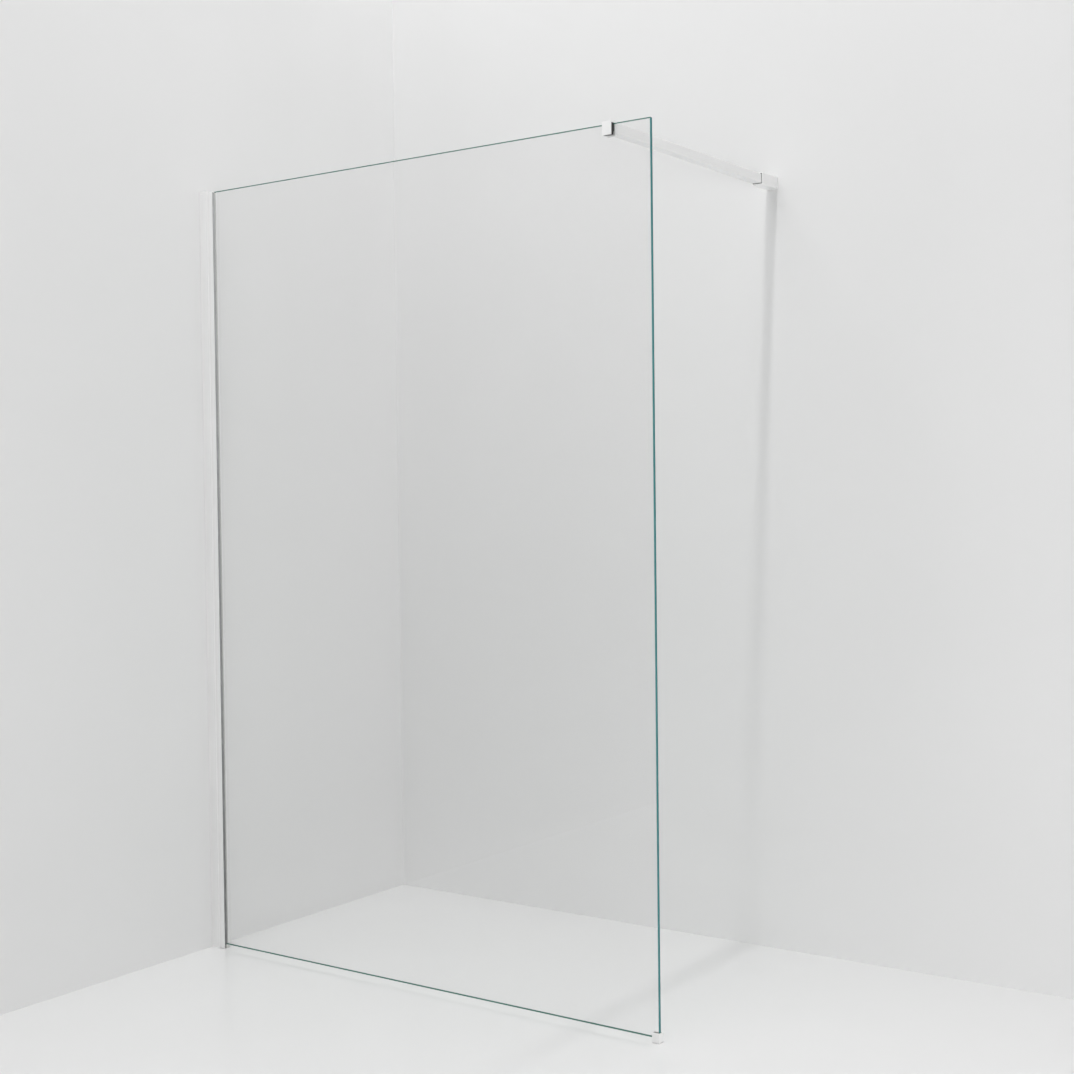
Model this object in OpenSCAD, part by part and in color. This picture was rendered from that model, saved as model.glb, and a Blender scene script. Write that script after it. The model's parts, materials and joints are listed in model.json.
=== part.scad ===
// Walk-in shower screen: one fixed glass panel in a two-part wall channel,
// steadied at its top by a square bar to the wall behind it.
// Sizes are in millimetres. The builder's datum is the corner where the wall
// channel meets wall and floor: X runs along the glass, Y from the face of the
// glass into the shower, Z up. in_frame() then moves it all to the centre of
// the footprint.

/* [Screen] */
// Height of the top edge of the glass above the floor
screen_h = 2000; // [1800:10:2200]
// Distance from the wall to the free edge of the glass
screen_w = 1375; // [700:5:1600]
// Distance from the face of the glass to the wall behind it
bar_reach = 785; // [500:5:1200]
// Gap between the floor and the lower edge of the glass
floor_gap = 10; // [8:1:16]

/* [Glass] */
// Thickness of the glass
glass_t = 8; // [6:1:10]
// Width of the ground arris along every edge of the glass
glass_arris = 0.8; // [0.4:0.1:1.4]

/* [Channel extrusions] */
// Distance from the wall to where the glass comes into view
cover_w = 44; // [44:1:60]
// Thickness of the side walls of both extrusions
profile_t = 1.8; // [1.4:0.1:2.2]
// Thickness of the wall channel's back
channel_web = 2.2; // [2:0.1:3]
// Clearance between the two extrusions on each side
slide_gap = 0.3; // [0.2:0.05:0.5]
// Travel of the glass, in or out, from its middle setting
adjust = 7; // [4:0.5:8]
// Depth of the pocket that holds the edge of the glass
pocket_d = 14.2; // [14:0.2:18]
// Gap between the edge of the glass and the back of its pocket
edge_gap = 2.2; // [1.5:0.1:3]
// Outer corner radius of the extrusions
profile_r = 0.8; // [0.4:0.1:1.4]

/* [Gaskets] */
// Gap that the front gasket fills, lip to glass
front_gap = 8.2; // [7.6:0.1:10]
// Gap that the rear gasket fills, glass to lip
rear_gap = 2.2; // [2:0.1:3]

/* [Wall fixing] */
// Number of screw holes up the wall channel
wall_holes = 4; // [3:1:6]
// Diameter of the screw holes in the wall channel
wall_hole_d = 6; // [5:0.5:7]
// Height of the lowest hole, and the highest one's distance from the top
wall_hole_inset = 150; // [100:10:250]
// Number of adjusting screws up the channel
adjust_screws = 3; // [2:1:5]
// Height of the lowest adjusting screw, and the highest one's distance down
adjust_inset = 300; // [260:10:400]
// Thread diameter of the adjusting screws
adjust_screw_d = 4; // [3.5:0.5:5]

/* [Glass clamp] */
// Depth of the clamp below the underside of the bar
clamp_drop = 6; // [2:0.5:10]
// Rise of the clamp above the glass
clamp_rise = 4; // [3.5:0.5:6]
// Thickness of the clamp's front leg
clamp_leg = 2.2; // [1.8:0.1:4]
// Thickness of the soft front pad between leg and glass
clamp_pad_t = 8.85; // [6:0.05:10]
// Depth of the clamp's block behind the glass
clamp_block = 12; // [10:0.5:16]
// Diameter of the screw that presses on the glass
press_screw_d = 8; // [6:1:8]
// Length of the screw that presses on the glass
press_screw_l = 14; // [12:1:20]
// Travel of the pressure plate away from the glass
press_travel = 1.5; // [1:0.1:2]

/* [Stabiliser bar] */
// Side of the square bar
bar_s = 23; // [22:1:30]
// Wall thickness of the bar
bar_t = 1.5; // [1.2:0.1:2]
// Outer corner radius of the bar
bar_r = 1; // [0.6:0.1:1.8]
// Distance from the bar's centre line to the free edge of the glass
bar_inset = 104.5; // [40:0.5:400]
// Length of the peg that enters the bar at each end
peg_l = 30; // [24:1:40]
// Clearance between a peg and the inside of the bar
peg_gap = 0.3; // [0.2:0.05:0.5]

/* [Wall sleeve] */
// Length of the sleeve that covers the joint at the wall
sleeve_l = 84; // [66:0.5:100]
// Wall thickness of the sleeve
sleeve_t = 2; // [1.6:0.1:3]
// Thickness of the dark bush between the sleeve and the bar
bush_t = 1.4; // [1.2:0.1:2]
// Length of the bush
bush_l = 15; // [10:1:25]
// Gap between the end of the sleeve and the wall
sleeve_gap = 0.5; // [0.3:0.1:1]
// Diameter of the screw hole in the wall base
base_hole_d = 5.5; // [4.5:0.5:6.5]
// Thickness of the wall base's collar against the wall
base_t = 9; // [8:0.5:12]
// Gap between the bar's end and the collar
base_gap = 8; // [7:0.5:12]

/* [Foot] */
// Length of glass that the foot takes in
foot_grip = 16; // [14:1:30]
// Thickness of the foot's sides
foot_wall = 4; // [3:0.5:6]
// Thickness of the foot's end stop
foot_end = 2; // [1.5:0.5:4]
// Height of the foot above the floor
foot_h = 21.5; // [20:0.5:30]
// Thickness of the foot's soft liner
foot_liner_t = 1; // [0.8:0.1:1.2]
// Thickness of the adhesive pad under the foot
foot_pad_t = 1; // [0.8:0.1:1.5]

/* [Hidden] */

$fn = 48;

// Gap left between a fixed piece and one that moves against it
touch = 0.15;
// Overlap of cutters past the faces they cut
cut = 1;
// Clearance between a thread and its hole, on the diameter
thread_gap = 0.04;
// How far the locking screws lie below the surface around them
grub_recess = 0.3;

// Glass
glass_x0 = cover_w - pocket_d + edge_gap;
glass_z0 = floor_gap;

// Glazing channel: the inner extrusion, a U for the glass with a skirt behind it
glaze_y0 = -(front_gap + profile_t);
glaze_y1 = glass_t + rear_gap + profile_t;
glaze_web_x = cover_w - pocket_d - profile_t;
skirt_clear = 2.8;
glaze_x0 = channel_web + skirt_clear + adjust;
glaze_z0 = 1.5;
cap_t = 2;
cap_gap = 0.4;
glaze_top = screen_h - cap_t - touch;

// Wall channel: the outer extrusion
screw_edge = 4;
slot_x = glaze_x0 + screw_edge;
slot_w = adjust_screw_d + 0.4;
slot_land = 2.8;
channel_d = slot_x + adjust + slot_w / 2 + slot_land;
channel_y0 = glaze_y0 - slide_gap - profile_t;
channel_y1 = glaze_y1 + slide_gap + profile_t;
channel_y = (channel_y0 + channel_y1) / 2;
channel_top = screen_h + cap_gap;
seal_groove_w = 3;
seal_groove_d = 0.6;
seal_groove_edge = 3;
cap_plug_t = 1.6;
cap_plug_w = 5;
cap_plug_l = 12;
cap_slot_gap = 0.2;

// Gasket hooks on the front lip, and the gasket between them and the glass
hook_t = 1;
hook_h = 2.4;
hook_lip = 0.8;
hook_gap = 0.15;
hook_mouth = 2.9;
hook_back = 0.5;
hook_x0 = glass_x0 + hook_back;
hook_x1 = hook_x0 + 2 * (hook_t + hook_lip) + hook_mouth;
gasket_back = 0.2;
gasket_lead = 1.5;
cell_r = 1.2;
rib_stand = 1;
rib_r = 0.95;
rib_count = 3;
rib_edge = 1.4;

// Screw port for the cap's screw, behind the glazing channel's web
port_r = 3.2;
port_bore = 1.6;
port_slot = 2.2;
port_sink = 0.6;
port_x = glaze_web_x - port_r + port_sink;
cap_screw_d = 3.5;
cap_screw_l = 14;
cap_screw_gap = 0.2;

// Adjusting screws on the shower side of the channel
head_d = 2 * adjust_screw_d;
head_h = 2.4;
head_gap = 0.15;
cover_t = 1;
cover_bevel = 0.8;
thread_past = 1.5;

// Clamp, as wide as the bar
top_pad_t = 0.85;
clamp_back_gap = 1.2;
bar_top_gap = 1;
clamp_w = bar_s;
clamp_h = bar_top_gap + bar_s + clamp_drop;
clamp_y0 = -(clamp_leg + clamp_pad_t + touch);
clamp_z1 = screen_h + clamp_rise;
clamp_z0 = clamp_z1 - clamp_h;
clamp_bridge = clamp_rise - touch - top_pad_t;
clamp_rear_y = glass_t + clamp_back_gap;
clamp_y1 = clamp_rear_y + clamp_block;
clamp_r = 0.8;
pad_inset = 0.4;
bar_x = screen_w - bar_inset;
bar_z = clamp_z1 - bar_top_gap - bar_s / 2;
rear_pad_t = 0.9;
plate_t = 2.5;
plate_side = 3;
plate_w = clamp_w - 2 * plate_side;
plate_edge = 0.6;
plate_gap = 0.3;
plate_z1 = screen_h - plate_edge;
plate_h = 2 * (plate_z1 - bar_z);
plate_y0 = glass_t + touch + rear_pad_t;
pocket_y = plate_y0 + plate_t + press_travel + plate_gap;
press_gap = 0.3;
press_bore = press_screw_d + 2 * press_gap;

// Bar
peg_s = bar_s - 2 * (bar_t + peg_gap);
peg_cut = 1;
bar_y0 = clamp_y1;
base_y0 = bar_reach - base_t;
bar_y1 = base_y0 - base_gap;
bar_grub_d = 5;
bar_grub_gap = 0.25;
bar_grub_end = 0.9;
bar_grub_inset = 16.5;
bar_grub_l = (bar_s - press_bore) / 2 - grub_recess - bar_grub_end;
bar_grub_y = bar_y0 + bar_grub_inset;

// Sleeve and wall base
bush_gap = 0.2;
sleeve_in = bar_s + 2 * (bush_gap + bush_t);
sleeve_s = sleeve_in + 2 * sleeve_t;
sleeve_y1 = bar_reach - sleeve_gap;
sleeve_y0 = sleeve_y1 - sleeve_l;
sleeve_r = 1.2;
bush_back = 0.6;
collar_gap = 0.35;
collar_s = sleeve_in - 2 * collar_gap;
sleeve_grub_d = 4;
sleeve_grub_end = 0.2;
sleeve_grub_l = sleeve_t + bush_t + bush_gap - grub_recess - sleeve_grub_end;
notch_w = 2 * sleeve_grub_d;
notch_gap = 0.45;
sleeve_grub_y = bar_reach - base_t / 2;
base_floor = 4;
base_bore_d = 12;
base_sink_d = 10;

// Foot
foot_gap = 0.2;
foot_x0 = screen_w - foot_grip;
foot_x1 = screen_w + foot_gap + foot_liner_t + foot_end;
foot_slot = foot_gap + foot_liner_t;
foot_y0 = -(foot_slot + foot_wall);
foot_y1 = glass_t + foot_slot + foot_wall;
foot_r = 1.5;
foot_bevel = 0.8;
liner_proud = 0.4;
liner_back = 0.5;
pad_margin = 1.5;

// Centre of the footprint, measured from the datum corner
frame_x = foot_x1 / 2;
frame_y = (bar_reach + min(channel_y0, clamp_y0, foot_y0)) / 2;

// Heights of the wall holes and of the adjusting screws
function spread(i, count, inset) = inset + i * (screen_h - 2 * inset) / (count - 1);

// Moves a piece from the builder's datum to the object's own origin
module in_frame() {
    translate([-frame_x, -frame_y, 0])
        children();
}

// A rectangle from one corner to the other, with all four corners rounded
module round_rect(x0, y0, x1, y1, r) {
    translate([x0 + r, y0])
        square([x1 - x0 - 2 * r, y1 - y0]);
    translate([x0, y0 + r])
        square([x1 - x0, y1 - y0 - 2 * r]);
    for (x = [x0 + r, x1 - r])
        for (y = [y0 + r, y1 - r])
            translate([x, y])
                circle(r = r);
}

// A rectangle from one corner to the other, with all four corners cut at 45 degrees
module cut_rect(x0, y0, x1, y1, c) {
    polygon([
        [x0 + c, y0], [x1 - c, y0], [x1, y0 + c], [x1, y1 - c],
        [x1 - c, y1], [x0 + c, y1], [x0, y1 - c], [x0, y0 + c]
    ]);
}

// A box between two corners
module box(p, q) {
    translate(p)
        cube(q - p);
}

// Stands an outline drawn in X and Z upright, from one Y to another
module along_y(y0, y1) {
    translate([0, y1, 0])
        rotate([90, 0, 0])
            linear_extrude(height = y1 - y0)
                children();
}

// Lays an outline drawn in Y and Z across, from one X to another
module along_x(x0, x1) {
    translate([x0, 0, 0])
        rotate([90, 0, 90])
            linear_extrude(height = x1 - x0)
                children();
}

// A round hole or rod along Y
module rod_y(d, y0, y1) {
    translate([0, y0, 0])
        rotate([-90, 0, 0])
            cylinder(d = d, h = y1 - y0);
}

// A headless screw along +Z from its tip, with bevelled ends and a hexagon socket
module grub_screw(d, l) {
    socket = d / 2;
    bevel = d / 10;
    difference() {
        rotate_extrude()
            polygon([
                [0, 0], [d / 2 - 2 * bevel, 0], [d / 2, 2 * bevel],
                [d / 2, l - bevel], [d / 2 - bevel, l], [0, l]
            ]);
        translate([0, 0, l / 2])
            cylinder(d = socket / cos(30), h = l, $fn = 6);
    }
}

// A cross recess cut down into the top of a screw's head
module cross_recess(l, w, depth) {
    for (a = [0, 90])
        rotate([0, 0, a])
            cube([l, w, 2 * depth], center = true);
}

// A cutter for a countersunk screw whose head lies flush at Z = 0
module countersunk_hole(d, head_d, l) {
    rotate_extrude()
        polygon([
            [0, -l], [d / 2, -l], [d / 2, (d - head_d) / 2], [head_d / 2, 0], [head_d / 2, cut], [0, cut]
        ]);
}

// Cross-section of the wall channel: a U with its lips bevelled for entry
module wall_channel_outline() {
    inner_y0 = channel_y0 + profile_t;
    inner_y1 = channel_y1 - profile_t;
    difference() {
        union() {
            round_rect(0, channel_y0, channel_d, channel_y1, profile_r);
            translate([0, channel_y0])
                square([profile_r, channel_y1 - channel_y0]);
        }
        translate([channel_web, inner_y0])
            square([channel_d, inner_y1 - inner_y0]);
        for (y = [channel_y0 + seal_groove_edge, channel_y1 - seal_groove_edge - seal_groove_w])
            translate([-cut, y])
                square([cut + seal_groove_d, seal_groove_w]);
    }
}

module wall_channel() {
    color("white")
        difference() {
            linear_extrude(height = channel_top)
                wall_channel_outline();
            for (i = [0 : wall_holes - 1])
                translate([-cut, channel_y, spread(i, wall_holes, wall_hole_inset)])
                    rotate([0, 90, 0])
                        cylinder(d = wall_hole_d, h = channel_web + 2 * cut);
            for (i = [0 : adjust_screws - 1])
                translate([0, 0, spread(i, adjust_screws, adjust_inset)])
                    adjust_slot();
        }
}

// The slot in the channel's shower side that an adjusting screw slides in
module adjust_slot() {
    y0 = channel_y1 - profile_t - cut;
    y1 = channel_y1 + cut;
    for (x = [slot_x - adjust, slot_x + adjust])
        translate([x, 0, 0])
            rod_y(slot_w, y0, y1);
    box([slot_x - adjust, y0, -slot_w / 2], [slot_x + adjust, y1, slot_w / 2]);
}

// Closes the wall channel's top, with two plugs that grip against its back
module wall_channel_cap() {
    plug_y = channel_y0 + profile_t + slide_gap;
    plug_x = channel_web + touch;
    color("white") {
        translate([0, 0, channel_top])
            linear_extrude(height = cap_t)
                round_rect(0, channel_y0, channel_d, channel_y1, profile_r);
        for (y = [plug_y, channel_y1 - profile_t - slide_gap - cap_plug_w])
            box(
                [plug_x, y, channel_top - cap_plug_l],
                [plug_x + cap_plug_t, y + cap_plug_w, channel_top + cap_t / 2]
            );
    }
}

// One hook of the T-slot that holds the front gasket, its lip towards +X
module gasket_hook() {
    y = glaze_y0 + profile_t;
    translate([0, y - profile_t / 2])
        square([hook_t, hook_h + profile_t / 2]);
    translate([0, y + hook_h - hook_lip])
        square([hook_t + hook_lip, hook_lip]);
}

// Cross-section of the glazing channel: skirt, web, glass pocket, hooks and screw port
module glazing_channel_outline() {
    inner_y0 = glaze_y0 + profile_t;
    inner_y1 = glaze_y1 - profile_t;
    difference() {
        round_rect(glaze_x0, glaze_y0, cover_w, glaze_y1, profile_r);
        translate([glaze_x0 - cut, inner_y0])
            square([glaze_web_x - glaze_x0 + cut, inner_y1 - inner_y0]);
        translate([glaze_web_x + profile_t, inner_y0])
            square([pocket_d + cut, inner_y1 - inner_y0]);
    }
    translate([hook_x0, 0])
        gasket_hook();
    translate([hook_x1, 0])
        mirror([1, 0])
            gasket_hook();
    translate([port_x, channel_y])
        difference() {
            circle(r = port_r);
            circle(r = port_bore);
            translate([-port_r - cut, -port_slot / 2])
                square([port_r + cut, port_slot]);
        }
}

module glazing_channel() {
    color("white")
        difference() {
            translate([0, 0, glaze_z0])
                linear_extrude(height = glaze_top - glaze_z0)
                    glazing_channel_outline();
            for (i = [0 : adjust_screws - 1])
                translate([slot_x, 0, spread(i, adjust_screws, adjust_inset)])
                    rod_y(adjust_screw_d, glaze_y1 - profile_t - cut, glaze_y1 + cut);
        }
}

// Closes the glazing channel's top round the glass, with plugs in the skirt
module glazing_channel_cap() {
    plug_y = glaze_y0 + profile_t + slide_gap;
    plug_x = port_x - port_r - slide_gap;
    color("white")
        difference() {
            union() {
                translate([0, 0, glaze_top])
                    linear_extrude(height = cap_t)
                        round_rect(glaze_x0, glaze_y0, cover_w, glaze_y1, profile_r);
                for (y = [plug_y, glaze_y1 - profile_t - slide_gap - cap_plug_t])
                    box(
                        [plug_x - cap_plug_w, y, glaze_top - cap_plug_l],
                        [plug_x, y + cap_plug_t, glaze_top + cap_t / 2]
                    );
            }
            box(
                [glass_x0 - edge_gap / 2, -cap_slot_gap, glaze_top - cut],
                [cover_w + cut, glass_t + cap_slot_gap, glaze_top + cap_t + cut]
            );
            translate([port_x, channel_y, glaze_top + cap_t])
                countersunk_hole(
                    cap_screw_d + 2 * cap_screw_gap, 2 * (cap_screw_d + cap_screw_gap), cap_t + cut
                );
        }
}

// Countersunk screw that holds the glazing channel's cap
module cap_screw() {
    head = cap_screw_d / 2;
    body_r = port_bore - thread_gap;
    point = 2;
    recess_w = 0.8;
    recess_h = 1.1;
    color("silver")
        translate([port_x, channel_y, glaze_top + cap_t - cap_screw_l])
            difference() {
                rotate_extrude()
                    polygon([
                        [0, 0], [body_r, point], [body_r, cap_screw_l - head],
                        [cap_screw_d, cap_screw_l], [0, cap_screw_l]
                    ]);
                translate([0, 0, cap_screw_l])
                    cross_recess(cap_screw_d, recess_w, recess_h);
            }
}

// Cross-section of the front gasket: a foot in the hooks, a wide body with two cells
module front_gasket_outline() {
    lip_y = glaze_y0 + profile_t;
    foot_w = hook_mouth + 2 * (hook_lip - hook_gap);
    mid_x = (hook_x0 + hook_x1) / 2;
    neck_w = hook_mouth - 2 * hook_gap;
    body_y = lip_y + hook_h + hook_gap;
    nose_x = cover_w - gasket_back;
    outer_x = hook_x1 + hook_gap;
    difference() {
        union() {
            translate([mid_x - foot_w / 2, lip_y + hook_gap])
                square([foot_w, hook_h - hook_lip - 2 * hook_gap]);
            translate([mid_x - neck_w / 2, lip_y + hook_gap])
                square([neck_w, hook_h + 2 * hook_gap]);
            polygon([
                [hook_x0, body_y], [nose_x, body_y], [nose_x, 0],
                [hook_x0 + gasket_lead, 0], [hook_x0, -gasket_lead]
            ]);
            translate([outer_x, lip_y])
                square([nose_x - outer_x, -lip_y]);
        }
        translate([mid_x, body_y / 2])
            circle(r = cell_r);
        translate([(outer_x + nose_x) / 2, lip_y / 2])
            round_rect(-cell_r, -2 * cell_r, cell_r, 2 * cell_r, cell_r / 2);
    }
}

module front_gasket() {
    color([0.2, 0.2, 0.2])
        translate([0, 0, glass_z0])
            linear_extrude(height = glaze_top - glass_z0)
                front_gasket_outline();
}

// Thin strip behind the glass, with ribs that press on it
module rear_gasket() {
    back_y = glass_t + rear_gap;
    rib_y = glass_t + rib_stand;
    x0 = hook_x0 + gasket_lead;
    x1 = cover_w - gasket_back;
    rib_pitch = (x1 - x0 - 2 * rib_edge) / (rib_count - 1);
    color([0.2, 0.2, 0.2])
        translate([0, 0, glass_z0])
            linear_extrude(height = glaze_top - glass_z0) {
                translate([x0, rib_y])
                    square([x1 - x0, back_y - rib_y]);
                for (i = [0 : rib_count - 1])
                    translate([x0 + rib_edge + i * rib_pitch, rib_y])
                        circle(r = rib_r);
            }
}

// Block on the floor that carries the wall end of the glass
module setting_block() {
    side = 1.2;
    shoulder = 2;
    end_gap = 1;
    color([0.85, 0.85, 0.83])
        along_x(glaze_web_x + profile_t + slide_gap, cover_w - end_gap)
            polygon([
                [-side, 0], [glass_t + side, 0], [glass_t + side, glass_z0 - shoulder],
                [glass_t, glass_z0], [0, glass_z0], [-side, glass_z0 - shoulder]
            ]);
}

// Small blocks between the edge of the glass and the back of its pocket
module edge_spacers() {
    spacer_l = 30;
    side_gap = 0.5;
    x0 = cover_w - pocket_d;
    color([0.85, 0.85, 0.83])
        for (i = [0 : adjust_screws - 1])
            translate([0, 0, spread(i, adjust_screws, adjust_inset) - spacer_l / 2])
                linear_extrude(height = spacer_l)
                    cut_rect(x0, side_gap, glass_x0, glass_t - side_gap, side_gap);
}

// The glass: a sheet with a ground arris along every edge
module glass_pane() {
    color([0.75, 0.88, 0.85, 0.45])
        intersection() {
            translate([0, 0, glass_z0 - cut])
                linear_extrude(height = screen_h - glass_z0 + 2 * cut)
                    cut_rect(glass_x0, 0, screen_w, glass_t, glass_arris);
            along_x(glass_x0 - cut, screen_w + cut)
                cut_rect(0, glass_z0, glass_t, screen_h, glass_arris);
            along_y(-cut, glass_t + cut)
                cut_rect(glass_x0, glass_z0, screen_w, screen_h, glass_arris);
        }
}

// Pan-head screws through the slots into the glazing channel's skirt
module adjusting_screws() {
    tip_y = glaze_y1 - profile_t - thread_past;
    shank = channel_y1 + touch - tip_y;
    shank_r = (adjust_screw_d - thread_gap) / 2;
    bevel = 0.6;
    head_round = 0.9;
    recess_w = 0.9;
    recess_h = 1.2;
    color("silver")
        for (i = [0 : adjust_screws - 1])
            translate([slot_x, tip_y, spread(i, adjust_screws, adjust_inset)])
                rotate([-90, 0, 0])
                    difference() {
                        rotate_extrude()
                            polygon([
                                [0, 0], [shank_r - bevel, 0], [shank_r, bevel], [shank_r, shank],
                                [head_d / 2, shank], [head_d / 2, shank + head_h / 2],
                                [head_d / 2 - head_round, shank + head_h], [0, shank + head_h]
                            ]);
                        translate([0, 0, shank + head_h])
                            cross_recess(adjust_screw_d, recess_w, recess_h);
                    }
}

// Snap-on covers over the heads of the adjusting screws
module screw_covers() {
    seat = channel_y1 + touch;
    inner_r = head_d / 2 + head_gap;
    outer_r = inner_r + cover_t;
    inner_h = head_h + head_gap;
    outer_h = inner_h + cover_t;
    color("white")
        for (i = [0 : adjust_screws - 1])
            translate([slot_x, seat, spread(i, adjust_screws, adjust_inset)])
                rotate([-90, 0, 0])
                    rotate_extrude()
                        polygon([
                            [inner_r, 0], [outer_r, 0], [outer_r, outer_h - cover_bevel],
                            [outer_r - cover_bevel, outer_h], [0, outer_h], [0, inner_h], [inner_r, inner_h]
                        ]);
}

// Side view of the clamp: front leg, bridge over the glass, block behind it
module clamp_outline() {
    difference() {
        round_rect(clamp_y0, clamp_z0, clamp_y1, clamp_z1, clamp_r);
        translate([clamp_y0 + clamp_leg, clamp_z0 - cut])
            square([clamp_rear_y - clamp_y0 - clamp_leg, clamp_h - clamp_bridge + cut]);
    }
}

// The clamp: a saddle over the glass, with a hollow peg for the bar
module clamp_body() {
    color("white")
        difference() {
            union() {
                along_x(bar_x - clamp_w / 2, bar_x + clamp_w / 2)
                    clamp_outline();
                translate([bar_x, 0, bar_z])
                    along_y(clamp_y1 - cut, bar_y0 + peg_l)
                        cut_rect(-peg_s / 2, -peg_s / 2, peg_s / 2, peg_s / 2, peg_cut);
            }
            box(
                [bar_x - plate_w / 2 - plate_gap, clamp_rear_y - cut, plate_z1 - plate_h - plate_gap],
                [bar_x + plate_w / 2 + plate_gap, pocket_y, plate_z1 + plate_gap]
            );
            translate([bar_x, 0, bar_z])
                rod_y(press_bore, pocket_y - cut, bar_y0 + peg_l + cut);
            translate([bar_x, bar_grub_y, bar_z - peg_s / 2 - cut])
                cylinder(d = bar_grub_d + thread_gap, h = cut + peg_s / 2);
        }
}

// Soft pad between the clamp's front leg and the glass
module clamp_front_pad() {
    color([0.2, 0.2, 0.2])
        translate([0, clamp_y0 + clamp_leg, 0])
            along_y(0, clamp_pad_t)
                round_rect(
                    bar_x - clamp_w / 2 + pad_inset, clamp_z0 + pad_inset,
                    bar_x + clamp_w / 2 - pad_inset, clamp_z1 - clamp_bridge, pad_inset
                );
}

// Thin pad between the top edge of the glass and the clamp's bridge
module clamp_top_pad() {
    color([0.2, 0.2, 0.2])
        box(
            [bar_x - clamp_w / 2 + pad_inset, 0, screen_h + touch],
            [bar_x + clamp_w / 2 - pad_inset, glass_t, clamp_z1 - clamp_bridge]
        );
}

// Plate in the clamp's pocket that spreads the screw's force over the glass
module pressure_plate() {
    color("silver")
        along_y(plate_y0, plate_y0 + plate_t)
            cut_rect(
                bar_x - plate_w / 2, plate_z1 - plate_h, bar_x + plate_w / 2, plate_z1, peg_cut
            );
}

// Thin pad on the pressure plate, against the glass
module clamp_rear_pad() {
    color([0.2, 0.2, 0.2])
        along_y(glass_t + touch, plate_y0)
            cut_rect(
                bar_x - plate_w / 2, plate_z1 - plate_h, bar_x + plate_w / 2, plate_z1, peg_cut
            );
}

// Screw inside the hollow peg that drives the pressure plate
module clamp_grub_screw() {
    color("silver")
        translate([bar_x, plate_y0 + plate_t, bar_z])
            rotate([-90, 0, 0])
                grub_screw(press_screw_d, press_screw_l);
}

// The stabiliser bar: a square tube over both pegs
module bar_tube() {
    inner = bar_s - 2 * bar_t;
    color("white")
        translate([bar_x, 0, bar_z])
            difference() {
                along_y(bar_y0, bar_y1)
                    difference() {
                        round_rect(-bar_s / 2, -bar_s / 2, bar_s / 2, bar_s / 2, bar_r);
                        square([inner, inner], center = true);
                    }
                translate([0, bar_grub_y, -bar_s / 2 - cut])
                    cylinder(d = bar_grub_d + 2 * bar_grub_gap, h = bar_t + 2 * cut);
            }
}

// Screw from below that locks the bar to the clamp's peg
module bar_grub_screw() {
    color("silver")
        translate([bar_x, bar_grub_y, bar_z - bar_s / 2 + grub_recess + bar_grub_l])
            mirror([0, 0, 1])
                grub_screw(bar_grub_d, bar_grub_l);
}

// Square sleeve over the bar's wall end, with a hole for its locking screw
module wall_sleeve() {
    color("white")
        translate([bar_x, 0, bar_z])
            difference() {
                along_y(sleeve_y0, sleeve_y1)
                    difference() {
                        round_rect(-sleeve_s / 2, -sleeve_s / 2, sleeve_s / 2, sleeve_s / 2, sleeve_r);
                        square([sleeve_in, sleeve_in], center = true);
                    }
                translate([0, sleeve_grub_y, -sleeve_s / 2 - cut])
                    cylinder(d = sleeve_grub_d + thread_gap, h = sleeve_t + 2 * cut);
            }
}

// Dark bush in the sleeve's mouth, which grips and guides the bar
module sleeve_bush() {
    inner = bar_s + 2 * bush_gap;
    outer = sleeve_in;
    color([0.2, 0.2, 0.2])
        translate([bar_x, 0, bar_z])
            along_y(sleeve_y0 + bush_back, sleeve_y0 + bush_back + bush_l)
                difference() {
                    square([outer, outer], center = true);
                    round_rect(-inner / 2, -inner / 2, inner / 2, inner / 2, bar_r);
                }
}

// Screw from below that locks the sleeve against the wall base
module sleeve_grub_screw() {
    color("silver")
        translate([bar_x, sleeve_grub_y, bar_z - sleeve_s / 2 + grub_recess + sleeve_grub_l])
            mirror([0, 0, 1])
                grub_screw(sleeve_grub_d, sleeve_grub_l);
}

// Base screwed to the wall: a collar inside the sleeve and a hollow peg in the bar
module wall_base() {
    sink_h = (base_sink_d - base_hole_d) / 2;
    head_y = bar_reach - base_floor - sink_h;
    color([0.75, 0.75, 0.77])
        translate([bar_x, 0, bar_z])
            difference() {
                union() {
                    along_y(base_y0, bar_reach)
                        cut_rect(-collar_s / 2, -collar_s / 2, collar_s / 2, collar_s / 2, peg_cut);
                    along_y(bar_y1 - peg_l, base_y0 + cut)
                        cut_rect(-peg_s / 2, -peg_s / 2, peg_s / 2, peg_s / 2, peg_cut);
                }
                translate([0, head_y, 0])
                    rotate([90, 0, 0])
                        countersunk_hole(base_hole_d, base_sink_d, bar_reach + cut - head_y);
                rod_y(base_bore_d, bar_y1 - peg_l - cut, head_y);
                box(
                    [-notch_w / 2, base_y0 - cut, -collar_s / 2 - cut],
                    [notch_w / 2, bar_reach + cut, notch_gap - bar_s / 2 - sleeve_grub_end]
                );
            }
}

// Shoe under the glass's free corner, with an end stop
module foot_shoe() {
    color("white")
        difference() {
            intersection() {
                linear_extrude(height = foot_h)
                    round_rect(foot_x0, foot_y0, foot_x1, foot_y1, foot_r);
                along_x(foot_x0 - cut, foot_x1 + cut)
                    polygon([
                        [foot_y0, foot_pad_t], [foot_y1, foot_pad_t],
                        [foot_y1, foot_h - foot_bevel], [foot_y1 - foot_bevel, foot_h],
                        [foot_y0 + foot_bevel, foot_h], [foot_y0, foot_h - foot_bevel]
                    ]);
            }
            box(
                [foot_x0 - cut, -foot_slot, glass_z0 - foot_slot],
                [screen_w + foot_slot, glass_t + foot_slot, foot_h + cut]
            );
        }
}

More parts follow.
